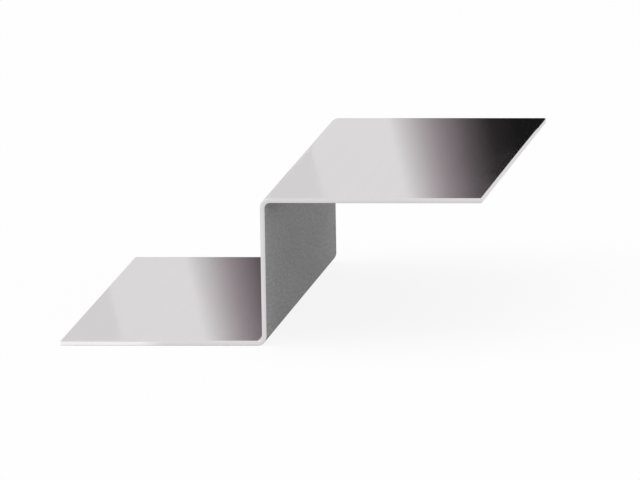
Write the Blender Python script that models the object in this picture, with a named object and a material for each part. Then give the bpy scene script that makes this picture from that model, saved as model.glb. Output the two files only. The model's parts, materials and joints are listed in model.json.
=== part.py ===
"""A cut length of Z profile: one strip of sheet steel, bent square twice.

The strip runs level as the lower flange, turns up into the web and turns
level again, the other way, as the upper flange. Its two faces differ. The
bright one is on top of both flanges and on the web's -X face, and the one
with the grey back coat is underneath and on the web's +X face.

Metres, +Z up. +X runs from the lower flange towards the upper one and +Y
along the profile. The origin is the middle of the lower flange's underside,
which is the face that gets fixed down.
"""

import math

import bmesh
import bpy
from mathutils import Vector

# The section, measured over its outside faces
LOWER_FLANGE = 0.042
UPPER_FLANGE = 0.045
HEIGHT = 0.030
THICKNESS = 0.001
INSIDE_BEND_RADIUS = 0.001

# The cut length, and the rounding that deburring leaves on its cut edges
LENGTH = 0.120
EDGE_RADIUS = 0.0002

# How finely the round stretches are divided
BEND_STEPS = 20
EDGE_STEPS = 4

QUARTER_TURN = math.pi / 2
OUTSIDE_BEND_RADIUS = INSIDE_BEND_RADIUS + THICKNESS
MIDDLE_BEND_RADIUS = INSIDE_BEND_RADIUS + THICKNESS / 2

# Dihedral angle above which an edge counts as cut and not as part of a bend
CUT_EDGE_ANGLE = math.radians(60)

BRIGHT_FACE, BACK_COAT, CUT_EDGE = range(3)
FINISHES = {
    # name: (base colour, roughness, metallic)
    "bright_steel": ((0.69, 0.68, 0.685), 0.25, 1.0),
    "grey_back_coat": ((0.184, 0.184, 0.184), 0.85, 0.0),
    "cut_steel": ((0.74, 0.72, 0.73), 0.40, 1.0),
}


def clear_scene():
    for old in list(bpy.data.objects):
        bpy.data.objects.remove(old, do_unlink=True)


def make_material(name, colour, roughness, metallic):
    material = bpy.data.materials.new(name)
    material.use_nodes = True
    material.diffuse_color = (*colour, 1.0)
    shader = material.node_tree.nodes["Principled BSDF"]
    shader.inputs["Base Color"].default_value = (*colour, 1.0)
    shader.inputs["Roughness"].default_value = roughness
    shader.inputs["Metallic"].default_value = metallic
    return material


class StripWalk:
    """Follows the strip's middle line through the section, in the X and Z plane.

    It notes a point on each face of the strip as it goes: on its left, which
    is the bright face, and on its right, which is the back.
    """

    def __init__(self, start):
        self.at = Vector(start)
        self.heading = 0.0
        self.bright = []
        self.back = []
        self.note_faces()

    def left(self):
        """Unit vector to the left of the heading."""
        return Vector((-math.sin(self.heading), math.cos(self.heading)))

    def note_faces(self):
        across = self.left() * (THICKNESS / 2)
        self.bright.append(self.at + across)
        self.back.append(self.at - across)

    def straight(self, distance):
        self.at += Vector((math.cos(self.heading), math.sin(self.heading))) * distance
        self.note_faces()

    def bend(self, side):
        """Turns a square bend: side is 1 to the left and -1 to the right."""
        centre = self.at + self.left() * (side * MIDDLE_BEND_RADIUS)
        for _ in range(BEND_STEPS):
            self.heading += side * QUARTER_TURN / BEND_STEPS
            self.at = centre - self.left() * (side * MIDDLE_BEND_RADIUS)
            self.note_faces()


def walk_section():
    """The section's two faces, each as points from the lower free edge to the upper one."""
    walk = StripWalk((-LOWER_FLANGE / 2, THICKNESS / 2))
    walk.straight(LOWER_FLANGE - OUTSIDE_BEND_RADIUS)
    walk.bend(1)
    walk.straight(HEIGHT - 2 * OUTSIDE_BEND_RADIUS)
    walk.bend(-1)
    walk.straight(UPPER_FLANGE - OUTSIDE_BEND_RADIUS)
    return walk.bright, walk.back


def extrude_section(bright, back):
    """The strip as a closed prism along Y, with each face given its finish."""
    outline = back + bright[::-1]
    count = len(outline)
    bm = bmesh.new()
    front, rear = (
        [bm.verts.new((p.x, y, p.y)) for p in outline] for y in (-LENGTH / 2, LENGTH / 2)
    )
    for i in range(count):
        j = (i + 1) % count
        side = bm.faces.new((front[i], front[j], rear[j], rear[i]))
        if i < len(back) - 1:
            side.material_index = BACK_COAT
        elif len(back) <= i < count - 1:
            side.material_index = BRIGHT_FACE
        else:
            side.material_index = CUT_EDGE
    for end in (front, rear):
        bm.faces.new(end).material_index = CUT_EDGE
    bmesh.ops.recalc_face_normals(bm, faces=bm.faces)
    mesh = bpy.data.meshes.new("z_profile")
    bm.to_mesh(mesh)
    bm.free()
    return mesh


def round_cut_edges(profile):
    """Rounds the edges round both cut ends and along the two free edges."""
    rounding = profile.modifiers.new("deburred_edges", "BEVEL")
    rounding.limit_method = "ANGLE"
    rounding.angle_limit = CUT_EDGE_ANGLE
    rounding.width = EDGE_RADIUS
    rounding.segments = EDGE_STEPS
    rounding.material = CUT_EDGE
    rounding.harden_normals = True


def build_profile():
    mesh = extrude_section(*walk_section())
    mesh.shade_smooth()
    for name, finish in FINISHES.items():
        mesh.materials.append(make_material(name, *finish))
    profile = bpy.data.objects.new("z_profile", mesh)
    bpy.context.scene.collection.objects.link(profile)
    round_cut_edges(profile)
    return profile


def main():
    clear_scene()
    build_profile()


main()
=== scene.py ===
"""The looks of the Z profile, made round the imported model.

The bent strip is modelled here as its flat blank, with a sheared rim, and
folded up. Its bright face is smooth enough to mirror the studio: two graded
cards behind the profile give its flanges their fades from silver towards black.
"""

import json
import math

import bmesh
import bpy
from mathutils import Matrix, Vector


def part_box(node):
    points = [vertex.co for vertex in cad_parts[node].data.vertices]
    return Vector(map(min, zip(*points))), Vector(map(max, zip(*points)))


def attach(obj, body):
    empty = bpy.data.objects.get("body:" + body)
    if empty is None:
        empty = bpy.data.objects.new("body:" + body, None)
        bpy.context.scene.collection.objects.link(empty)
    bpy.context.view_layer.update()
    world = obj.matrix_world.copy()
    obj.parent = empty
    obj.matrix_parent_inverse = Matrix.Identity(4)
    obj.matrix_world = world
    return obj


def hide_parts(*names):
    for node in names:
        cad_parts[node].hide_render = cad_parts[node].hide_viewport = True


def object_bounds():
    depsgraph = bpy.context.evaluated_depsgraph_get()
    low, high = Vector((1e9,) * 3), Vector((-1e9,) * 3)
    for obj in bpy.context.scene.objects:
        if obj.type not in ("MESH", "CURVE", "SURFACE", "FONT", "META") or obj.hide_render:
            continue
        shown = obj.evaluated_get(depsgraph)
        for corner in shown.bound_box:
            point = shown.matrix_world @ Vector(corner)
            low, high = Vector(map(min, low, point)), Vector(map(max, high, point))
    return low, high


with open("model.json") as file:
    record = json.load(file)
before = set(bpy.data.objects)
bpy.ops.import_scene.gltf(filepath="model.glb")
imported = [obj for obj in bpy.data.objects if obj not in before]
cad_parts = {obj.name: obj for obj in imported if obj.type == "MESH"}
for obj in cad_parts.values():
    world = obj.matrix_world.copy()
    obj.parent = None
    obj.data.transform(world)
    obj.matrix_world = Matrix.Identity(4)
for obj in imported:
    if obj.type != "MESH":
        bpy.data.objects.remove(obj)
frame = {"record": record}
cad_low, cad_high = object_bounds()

# The sheet, as the CAD model has it
SHEET_NODE = "z_profile"
THICKNESS = 0.001
INSIDE_BEND_RADIUS = 0.001

# What shearing and deburring leave on the sheet's rim
ROLLOVER_RADIUS = 0.00024
BURR_SIDE_RADIUS = 0.00016
CORNER_RADIUS = 0.0005

# How finely each bend, and each rounding of the rim and corners, is divided
BEND_STEPS = 40
ROUNDING_STEPS = 6
# How many of the burr side's rounding steps the back coat laps over
COAT_LAP_STEPS = 3

# The darkest and palest colour of each finish
STEEL_DARK = (0.690, 0.680, 0.685, 1.0)
STEEL_PALE = (0.730, 0.720, 0.725, 1.0)
COAT_DARK = 0.112
COAT_PALE = 0.260
CUT_DARK = (0.620, 0.605, 0.610, 1.0)
CUT_PALE = (0.930, 0.915, 0.920, 1.0)
# The bright face's tint in reflections at a grazing angle, and how much rougher it is halfway round a bend
GRAZING_TINT = (0.850, 0.834, 0.842, 1.0)
BEND_ROUGHNESS = 0.18
# How far from the lower free edge the cut ends carry a painted highlight, and over what width that fades
PAINTED_HIGHLIGHT_REACH = 0.0160
PAINTED_HIGHLIGHT_FADE = 0.0050
# Nearly all values of a noise texture lie between these
NOISE_LOW = 0.3
NOISE_HIGH = 0.7

# The camera, which stands far off because the photograph is a long view
CAMERA_DISTANCE = 4.5
CAMERA_AZIMUTH = math.radians(6.94)
CAMERA_ELEVATION = math.radians(7.98)
CAMERA_ROLL = math.radians(-0.93)
CAMERA_LENS_MM = 1241.0
SENSOR_WIDTH_MM = 36.0
# How far right of the middle of the web's back face, and how far below it, the view is centred
AIM_OFFSET_RIGHT = 0.00387
AIM_OFFSET_DOWN = 0.00195

# The cards: their distance behind the profile, how far they reach past what is mirrored, and their tops' Z
CARD_GAP = 0.012
CARD_MARGIN = 0.006
LOWER_CARD_TOP = 0.0285
UPPER_CARD_TOP = 0.067
# Where on each flange, halfway along it, the fade starts
LOWER_FADE_START = -0.0017
UPPER_FADE_START = 0.0403
# How far a line of one tone leans from upright, at the fade's start and from this far right of it on
PALE_LEAN = math.radians(13.7)
DARK_LEAN = math.radians(9.5)
LEAN_CHANGE = 0.013
# The cards' tones: distance to the right of the fade's start, and colour as it shows.
# The first one gives each flange the slightly darker wedge at its left end.
FADE_TONES = (
    (-0.0171, (0.950, 0.946, 0.948)),
    (-0.0166, (0.985, 0.985, 0.985)),
    (0.0007, (0.985, 0.985, 0.985)),
    (0.0045, (0.846, 0.835, 0.839)),
    (0.0097, (0.645, 0.611, 0.626)),
    (0.0134, (0.511, 0.478, 0.495)),
    (0.0165, (0.385, 0.363, 0.371)),
    (0.0216, (0.203, 0.193, 0.197)),
    (0.0272, (0.136, 0.135, 0.135)),
)
# What turns a colour as it shows into light
FADE_GAMMA = 2.2

# The light that comes from all round, where 1 would be white
WORLD_LIGHT = 0.90
# The floor: its side and the squares along it, how far it lies below the profile, its paper's tone,
# and how much of what is seen of it is plain white
FLOOR_SIZE = 12.0
FLOOR_SQUARES = 8
FLOOR_DROP = 0.00005
FLOOR_TONE = 0.96
FLOOR_WHITE_SHARE = 0.87

QUARTER_TURN = math.pi / 2
OUTSIDE_BEND_RADIUS = INSIDE_BEND_RADIUS + THICKNESS
BEND_ARC = QUARTER_TURN * (INSIDE_BEND_RADIUS + THICKNESS / 2)

BRIGHT_FACE, BACK_COAT, CUT_EDGE = range(3)


# Small helpers for node materials


def new_material(name):
    material = bpy.data.materials.new(name)
    material.use_nodes = True
    tree = material.node_tree
    tree.nodes.clear()
    output = tree.nodes.new("ShaderNodeOutputMaterial")
    return material, tree, output


def add(tree, kind, inputs=None, **settings):
    """Adds a node, sets its settings, and fills its inputs with values or with other nodes' outputs."""
    node = tree.nodes.new(kind)
    for name, value in settings.items():
        setattr(node, name, value)
    for name, value in (inputs or {}).items():
        socket = node.inputs[name]
        if isinstance(value, bpy.types.NodeSocket):
            tree.links.new(value, socket)
        else:
            socket.default_value = value
    return node


def grey(value):
    return (value, value, value, 1.0)


def remap(tree, value, low, high, out_low, out_high):
    """value, taken from low..high to out_low..out_high and held inside it."""
    node = add(tree, "ShaderNodeMapRange", {
        "Value": value, "From Min": low, "From Max": high, "To Min": out_low, "To Max": out_high,
    })
    return node.outputs["Result"]


def spread(tree, noise, out_low, out_high):
    """A noise, with its usual range taken to out_low..out_high."""
    return remap(tree, noise, NOISE_LOW, NOISE_HIGH, out_low, out_high)


def mix_colours(tree, factor, first, second):
    """A colour between first and second. The node's colour sockets go by number, as their names repeat."""
    node = tree.nodes.new("ShaderNodeMix")
    node.data_type = "RGBA"
    tree.links.new(factor, node.inputs["Factor"])
    node.inputs[6].default_value = first
    node.inputs[7].default_value = second
    return node.outputs[2]


def math_node(tree, operation, first, second):
    node = add(tree, "ShaderNodeMath", {0: first, 1: second}, operation=operation)
    return node.outputs[0]


# The sheet


def web_back_x():
    """Where the web's back face is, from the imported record."""
    return next(m for m in frame["record"]["mounts"] if m["name"] == "web_face")["pos_m"][0]


def section_of():
    """The strip's straight stretches and bends as (length, turn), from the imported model."""
    low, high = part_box(SHEET_NODE)
    lower_flange = web_back_x() - low.x
    upper_flange = high.x - (web_back_x() - THICKNESS)
    return [
        (lower_flange - OUTSIDE_BEND_RADIUS, 0.0),
        (BEND_ARC, QUARTER_TURN),
        (high.z - low.z - 2 * OUTSIDE_BEND_RADIUS, 0.0),
        (BEND_ARC, -QUARTER_TURN),
        (upper_flange - OUTSIDE_BEND_RADIUS, 0.0),
    ]


def middle_line(stretches, start, distance):
    """Where the strip's middle line is at that distance from its lower free edge, and its heading."""
    x, z = start
    heading = 0.0
    for run, turn in stretches:
        step = min(distance, run)
        if turn:
            radius = run / turn
            after = heading + turn * step / run
            x += radius * (math.sin(after) - math.sin(heading))
            z -= radius * (math.cos(after) - math.cos(heading))
            heading = after
        else:
            x += math.cos(heading) * step
            z += math.sin(heading) * step
        distance -= step
        if distance <= 0:
            break
    return x, z, heading


def bend_lines(stretches):
    """The distances from the lower free edge at which the mesh has a line along the strip."""
    lines = []
    at = 0.0
    for run, turn in stretches:
        if turn:
            lines += [at + run * i / BEND_STEPS for i in range(BEND_STEPS + 1)]
        at += run
    return [CORNER_RADIUS] + lines + [at - CORNER_RADIUS]


def rim_profile():
    """The rim's section from the bright face to the back: (inset, height, outward, up) for each point."""
    points = []
    for radius, first, last, side in (
        (ROLLOVER_RADIUS, QUARTER_TURN, 0.0, 1),
        (BURR_SIDE_RADIUS, 0.0, -QUARTER_TURN, -1),
    ):
        for i in range(ROUNDING_STEPS + 1):
            angle = first + (last - first) * i / ROUNDING_STEPS
            inset = radius - radius * math.cos(angle)
            height = side * (THICKNESS / 2 - radius) + radius * math.sin(angle)
            points.append((inset, height, math.cos(angle), math.sin(angle)))
    return points


def blank_outline(lines, near, far):
    """The blank's outline as (base, outward angle) stations.

    A point inset by i lies CORNER_RADIUS - i outward of its base. near and far are the cut
    ends' Y. The stations run along the near end, the upper free edge, the far end and back
    along the lower free edge.
    """
    first, last = lines[0], lines[-1]
    y_near, y_far = near + CORNER_RADIUS, far - CORNER_RADIUS
    stations = [((s, y_near), -QUARTER_TURN) for s in lines]
    stations += corner((last, y_near), -QUARTER_TURN)
    stations += corner((last, y_far), 0.0, with_start=True)
    stations += [((s, y_far), QUARTER_TURN) for s in reversed(lines[:-1])]
    stations += corner((first, y_far), QUARTER_TURN)
    stations += corner((first, y_near), 2 * QUARTER_TURN, with_start=True)[:-1]
    return stations


def corner(centre, start_angle, with_start=False):
    """Stations for a quarter turn round one corner of the blank."""
    first = 0 if with_start else 1
    return [
        (centre, start_angle + QUARTER_TURN * i / ROUNDING_STEPS)
        for i in range(first, ROUNDING_STEPS + 1)
    ]


def model_sheet():
    """The strip as one closed mesh, with true normals and with the flat blank as its UV map.

    Its materials read two values at each point: through, from -0.5 at the back to 0.5 at the bright
    face, and bent, from 0 on the flat stretches to 1 halfway round a bend.
    """
    low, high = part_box(SHEET_NODE)
    stretches = section_of()
    lines = bend_lines(stretches)
    stations = blank_outline(lines, low.y, high.y)
    profile = rim_profile()
    start = (low.x, low.z + THICKNESS / 2)

    bm = bmesh.new()
    uv_layer = bm.loops.layers.uv.new("blank")
    blank = {}
    normals = []
    through = []
    bent = []
    rings = []
    for inset, height, outward, up in profile:
        ring = []
        for (s0, y0), angle in stations:
            reach = CORNER_RADIUS - inset
            s = s0 + math.cos(angle) * reach
            y = y0 + math.sin(angle) * reach
            x, z, heading = middle_line(stretches, start, s)
            along = Vector((math.cos(heading), 0.0, math.sin(heading)))
            left = Vector((-math.sin(heading), 0.0, math.cos(heading)))
            across = along * math.cos(angle) + Vector((0.0, math.sin(angle), 0.0))
            vert = bm.verts.new(Vector((x, y, z)) + left * height)
            blank[vert] = (s, y)
            normals.append((across * outward + left * up).normalized())
            through.append(height / THICKNESS)
            bent.append(abs(math.sin(2 * heading)))
            ring.append(vert)
        rings.append(ring)

    add_rim_faces(bm, rings)
    add_face_sheet(bm, rings[0], len(lines), BRIGHT_FACE)
    add_face_sheet(bm, rings[-1], len(lines), BACK_COAT)
    bmesh.ops.recalc_face_normals(bm, faces=bm.faces)
    for face in bm.faces:
        face.smooth = True
        for loop in face.loops:
            loop[uv_layer].uv = blank[loop.vert]

    mesh = bpy.data.meshes.new("bent_sheet")
    bm.to_mesh(mesh)
    bm.free()
    mesh.normals_split_custom_set_from_vertices(normals)
    for name, values in (("through", through), ("bent", bent)):
        attribute = mesh.attributes.new(name, "FLOAT", "POINT")
        attribute.data.foreach_set("value", values)
    return mesh


def add_rim_faces(bm, rings):
    """The rim's faces. The rollover keeps the bright finish, and the back coat laps over the burr side."""
    count = len(rings[0])
    lap_start = len(rings) - 1 - COAT_LAP_STEPS
    for j in range(len(rings) - 1):
        if j < ROUNDING_STEPS:
            finish = BRIGHT_FACE
        elif j < lap_start:
            finish = CUT_EDGE
        else:
            finish = BACK_COAT
        for i in range(count):
            k = (i + 1) % count
            face = bm.faces.new((rings[j][i], rings[j][k], rings[j + 1][k], rings[j + 1][i]))
            face.material_index = finish


def add_face_sheet(bm, ring, line_count, material_index):
    """One of the sheet's two faces: a strip between each two bend lines, and a plate at each free edge."""
    near = ring[:line_count]
    upper_edge = ring[line_count - 1:line_count + 2 * ROUNDING_STEPS + 1]
    far_start = line_count + 2 * ROUNDING_STEPS
    far = ring[far_start:far_start + line_count][::-1]
    lower_edge = ring[far_start + line_count - 1:] + ring[:1]
    faces = [
        bm.faces.new((near[i], near[i + 1], far[i + 1], far[i]))
        for i in range(line_count - 1)
    ]
    faces.append(bm.faces.new(upper_edge))
    faces.append(bm.faces.new(lower_edge))
    for face in faces:
        face.material_index = material_index


# Its finishes


def blank_noise(tree, width, length, detail):
    """Noise in the flat blank's own plane, with marks of that width across the strip and length along it."""
    uv = add(tree, "ShaderNodeUVMap", uv_map="blank").outputs["UV"]
    scaled = add(tree, "ShaderNodeVectorMath", {0: uv, 1: (1 / width, 1 / length, 1.0)}, operation="MULTIPLY")
    noise = add(tree, "ShaderNodeTexNoise", {
        "Vector": scaled.outputs[0], "Scale": 1.0, "Detail": detail,
    }, noise_dimensions="2D")
    return noise.outputs["Fac"]


def bright_steel():
    """Smooth rolled steel: faint rolling lines under a soft mirror finish, more matte where it is bent."""
    material, tree, output = new_material("bright_steel")
    lines = blank_noise(tree, width=0.00022, length=0.030, detail=3.0)
    bands = blank_noise(tree, width=0.0030, length=0.150, detail=1.0)
    clouds = blank_noise(tree, width=0.0120, length=0.0250, detail=3.0)
    tone = math_node(tree, "ADD", spread(tree, lines, 0.0, 0.6), spread(tree, bands, 0.0, 0.4))
    colour = mix_colours(tree, tone, STEEL_DARK, STEEL_PALE)
    wear = math_node(tree, "ADD", spread(tree, lines, 0.0, 0.025), spread(tree, clouds, 0.075, 0.105))
    bent = add(tree, "ShaderNodeAttribute", attribute_name="bent").outputs["Fac"]
    wear = math_node(tree, "ADD", wear, remap(tree, bent, 0.0, 1.0, 0.0, BEND_ROUGHNESS))
    bump = add(tree, "ShaderNodeBump", {"Height": lines, "Strength": 0.2, "Distance": 0.000002})
    tangent = add(tree, "ShaderNodeTangent", direction_type="UV_MAP", uv_map="blank")
    shader = add(tree, "ShaderNodeBsdfPrincipled", {
        "Base Color": colour,
        "Metallic": 1.0,
        "Roughness": wear,
        "Specular Tint": GRAZING_TINT,
        "Anisotropic": 0.5,
        "Tangent": tangent.outputs[0],
        "Normal": bump.outputs["Normal"],
    })
    tree.links.new(shader.outputs[0], output.inputs["Surface"])
    return material


def back_coat():
    """Matte grey coating: a fine grain that rollers drew out along the strip, with short specks in it."""
    material, tree, output = new_material("grey_back_coat")
    grain = blank_noise(tree, width=0.00045, length=0.0045, detail=1.0)
    specks = blank_noise(tree, width=0.00040, length=0.00070, detail=1.0)
    clouds = blank_noise(tree, width=0.0110, length=0.0300, detail=2.0)
    tone = math_node(tree, "ADD", spread(tree, grain, 0.0, 0.38), spread(tree, specks, 0.0, 0.52))
    tone = math_node(tree, "ADD", tone, spread(tree, clouds, 0.0, 0.1))
    colour = mix_colours(tree, tone, grey(COAT_DARK), grey(COAT_PALE))
    bump = add(tree, "ShaderNodeBump", {"Height": specks, "Strength": 0.4, "Distance": 0.00001})
    shader = add(tree, "ShaderNodeBsdfPrincipled", {
        "Base Color": colour,
        "Roughness": spread(tree, grain, 0.72, 0.88),
        "Specular IOR Level": 0.2,
        "Normal": bump.outputs["Normal"],
    })
    tree.links.new(shader.outputs[0], output.inputs["Surface"])
    return material


def cut_steel():
    """Bare sheared steel, burnished near the bright face and duller where it broke near the back.

    It has fine lines across the thickness, and a painted highlight brightens its first stretch from the lower
    free edge.
    """
    material, tree, output = new_material("cut_steel")
    striations = blank_noise(tree, width=0.00012, length=0.00012, detail=2.0)
    through = add(tree, "ShaderNodeAttribute", attribute_name="through").outputs["Fac"]
    burnished = remap(tree, through, -0.20, 0.05, 0.0, 0.16)
    uv = add(tree, "ShaderNodeUVMap", uv_map="blank").outputs["UV"]
    across = add(tree, "ShaderNodeSeparateXYZ", {"Vector": uv}).outputs["X"]
    # Painted highlight: the cut ends' colour is made paler over the first stretch from the lower free edge.
    painted_highlight = remap(tree, across, PAINTED_HIGHLIGHT_REACH, PAINTED_HIGHLIGHT_REACH + PAINTED_HIGHLIGHT_FADE, 0.62, 0.0)
    tone = math_node(tree, "ADD", burnished, spread(tree, striations, 0.06, 0.24))
    tone = math_node(tree, "ADD", tone, painted_highlight)
    colour = mix_colours(tree, tone, CUT_DARK, CUT_PALE)
    bump = add(tree, "ShaderNodeBump", {"Height": striations, "Strength": 0.25, "Distance": 0.00001})
    shader = add(tree, "ShaderNodeBsdfPrincipled", {
        "Base Color": colour,
        "Metallic": 1.0,
        "Roughness": spread(tree, striations, 0.38, 0.5),
        "Normal": bump.outputs["Normal"],
    })
    tree.links.new(shader.outputs[0], output.inputs["Surface"])
    return material


# The studio


def seen_directly(tree):
    """1 for rays from the camera, in reflections or through glass, and 0 for light that falls on things."""
    path = add(tree, "ShaderNodeLightPath")
    seen = math_node(tree, "MAXIMUM", path.outputs["Is Camera Ray"], path.outputs["Is Glossy Ray"])
    return math_node(tree, "MAXIMUM", seen, path.outputs["Is Transmission Ray"])


def make_world():
    """Light from all round. It shows white, and is a little less as light on things."""
    world = bpy.data.worlds.new("studio")
    world.use_nodes = True
    tree = world.node_tree
    tree.nodes.clear()
    strength = remap(tree, seen_directly(tree), 0.0, 1.0, WORLD_LIGHT, 1.0)
    background = add(tree, "ShaderNodeBackground", {"Color": grey(1.0), "Strength": strength})
    output = tree.nodes.new("ShaderNodeOutputWorld")
    tree.links.new(background.outputs[0], output.inputs["Surface"])
    bpy.context.scene.world = world


def make_floor():
    """A pale floor that shows white, with part of the object's shadow."""
    bm = bmesh.new()
    bmesh.ops.create_grid(bm, x_segments=FLOOR_SQUARES, y_segments=FLOOR_SQUARES, size=FLOOR_SIZE / 2)
    mesh = bpy.data.meshes.new("floor")
    bm.to_mesh(mesh)
    bm.free()
    floor = bpy.data.objects.new("floor", mesh)
    bpy.context.scene.collection.objects.link(floor)
    floor.location.z = cad_low.z - FLOOR_DROP
    material, tree, output = new_material("floor_paper")
    paper = add(tree, "ShaderNodeBsdfDiffuse", {"Color": grey(FLOOR_TONE)})
    glow = add(tree, "ShaderNodeEmission", {"Color": grey(1.0), "Strength": 1.0})
    share = math_node(tree, "MULTIPLY", seen_directly(tree), FLOOR_WHITE_SHARE)
    mix = add(tree, "ShaderNodeMixShader", {0: share, 1: paper.outputs[0], 2: glow.outputs[0]})
    tree.links.new(mix.outputs[0], output.inputs["Surface"])
    mesh.materials.append(material)


def make_card(name, material, start, corners):
    """A card that only reflections show. It stands across the strip, with its origin at the fade's start."""
    bm = bmesh.new()
    bm.faces.new([bm.verts.new((x - start.x, 0.0, z - start.z)) for x, z in corners])
    mesh = bpy.data.meshes.new(name)
    bm.to_mesh(mesh)
    bm.free()
    mesh.materials.append(material)
    card = bpy.data.objects.new(name, mesh)
    bpy.context.scene.collection.objects.link(card)
    card.location = start
    card.visible_camera = False
    card.visible_diffuse = False
    card.visible_shadow = False
    card.visible_transmission = False
    card.visible_volume_scatter = False


def fade_material():
    """Fades from white to nearly black along X. Lines of one tone lean to the right, the dark ones less."""
    material, tree, output = new_material("card_fade")
    place = add(tree, "ShaderNodeTexCoord").outputs["Object"]
    parts = add(tree, "ShaderNodeSeparateXYZ", {"Vector": place})
    across = parts.outputs["X"]
    slope = remap(tree, across, 0.0, LEAN_CHANGE, math.tan(PALE_LEAN), math.tan(DARK_LEAN))
    lean = math_node(tree, "MULTIPLY", parts.outputs["Z"], slope)
    upright = math_node(tree, "SUBTRACT", across, lean)
    first, last = FADE_TONES[0][0], FADE_TONES[-1][0]
    ramp = add(tree, "ShaderNodeValToRGB", {"Fac": remap(tree, upright, first, last, 0.0, 1.0)})
    stops = ramp.color_ramp.elements
    stops[0].color = (*FADE_TONES[0][1], 1.0)
    stops[1].color = (*FADE_TONES[-1][1], 1.0)
    for distance, colour in FADE_TONES[1:-1]:
        stops.new((distance - first) / (last - first)).color = (*colour, 1.0)
    tone = add(tree, "ShaderNodeGamma", {"Color": ramp.outputs["Color"], "Gamma": FADE_GAMMA})
    glow = add(tree, "ShaderNodeEmission", {"Color": tone.outputs[0], "Strength": 1.0})
    tree.links.new(glow.outputs[0], output.inputs["Surface"])
    return material


def mirrored(camera_at, x, y, z):
    """The point in the cards' plane that the camera sees mirrored in a level face at that point."""
    card_y = cad_high.y + CARD_GAP
    ray = Vector((x, y, z)) - camera_at
    reach = (card_y - y) / ray.y
    return Vector((x + ray.x * reach, card_y, z - ray.z * reach))


def make_cards(camera_at):
    """A graded card for each flange, a little larger than what the camera sees mirrored in it.

    Its right edge leans as the flange's own right edge does in the mirror, so that it shows
    little from other sides.
    """
    material = fade_material()
    web_left = web_back_x() - THICKNESS
    for name, fade_start, flange_left, flange_right, face_z, top in (
        ("lower_card", LOWER_FADE_START, cad_low.x, web_left, cad_low.z + THICKNESS, LOWER_CARD_TOP),
        ("upper_card", UPPER_FADE_START, web_left, cad_high.x, cad_high.z, UPPER_CARD_TOP),
    ):
        start = mirrored(camera_at, fade_start, 0.0, face_z)
        left = mirrored(camera_at, flange_left, cad_low.y, face_z).x - CARD_MARGIN
        near = mirrored(camera_at, flange_right, cad_low.y, face_z)
        far = mirrored(camera_at, flange_right, cad_high.y, face_z)
        right = far.x + CARD_MARGIN
        right_at_top = right + (near.x - far.x) * (top - far.z) / (near.z - far.z)
        corners = [(left, face_z), (right, face_z), (right, far.z), (right_at_top, top), (left, top)]
        make_card(name, material, start, corners)


def make_lamp(name, at, size, power, in_reflections):
    """A soft square lamp that points at the middle of the profile."""
    light = bpy.data.lights.new(name, "AREA")
    light.shape = "SQUARE"
    light.size = size
    light.energy = power
    lamp = bpy.data.objects.new(name, light)
    lamp.location = at
    towards = (cad_low + cad_high) / 2 - lamp.location
    lamp.rotation_euler = towards.to_track_quat("-Z", "Y").to_euler()
    lamp.visible_glossy = in_reflections
    bpy.context.scene.collection.objects.link(lamp)


def make_camera():
    """The photograph's camera. Gives back where it stands."""
    aim = Vector((web_back_x(), 0.0, (cad_low.z + cad_high.z) / 2))
    level = math.cos(CAMERA_ELEVATION)
    back = Vector((
        math.sin(CAMERA_AZIMUTH) * level,
        -math.cos(CAMERA_AZIMUTH) * level,
        math.sin(CAMERA_ELEVATION),
    ))
    at = aim + back * CAMERA_DISTANCE
    right, up = camera_axes(back)
    centre = aim + right * AIM_OFFSET_RIGHT - up * AIM_OFFSET_DOWN
    back = (at - centre).normalized()
    right, up = camera_axes(back)
    data = bpy.data.cameras.new("camera")
    data.lens = CAMERA_LENS_MM
    data.sensor_width = SENSOR_WIDTH_MM
    camera = bpy.data.objects.new("camera", data)
    camera.matrix_world = Matrix.Translation(at) @ Matrix((right, up, back)).transposed().to_4x4()
    bpy.context.scene.collection.objects.link(camera)
    bpy.context.scene.camera = camera
    return at


def camera_axes(back):
    """The picture's right and up directions, rolled as the photograph is."""
    level_right = Vector((0.0, 0.0, 1.0)).cross(back).normalized()
    level_up = back.cross(level_right)
    cosine, sine = math.cos(CAMERA_ROLL), math.sin(CAMERA_ROLL)
    return level_right * cosine + level_up * sine, level_up * cosine - level_right * sine


def make_profile():
    """The bent strip, with its three finishes in the order of their material indexes."""
    mesh = model_sheet()
    for material in (bright_steel(), back_coat(), cut_steel()):
        mesh.materials.append(material)
    profile = bpy.data.objects.new("bent_sheet", mesh)
    bpy.context.scene.collection.objects.link(profile)
    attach(profile, "root")
    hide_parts(SHEET_NODE)


def main():
    scene = bpy.context.scene
    scene.view_settings.view_transform = "Standard"
    make_profile()
    make_world()
    make_floor()
    camera_at = make_camera()
    make_cards(camera_at)
    make_lamp("key", at=(-0.9, -0.9, 1.4), size=0.8, power=2.5, in_reflections=True)
    make_lamp("fill", at=(1.5, -0.5, 0.11), size=0.2, power=9.5, in_reflections=False)


main()
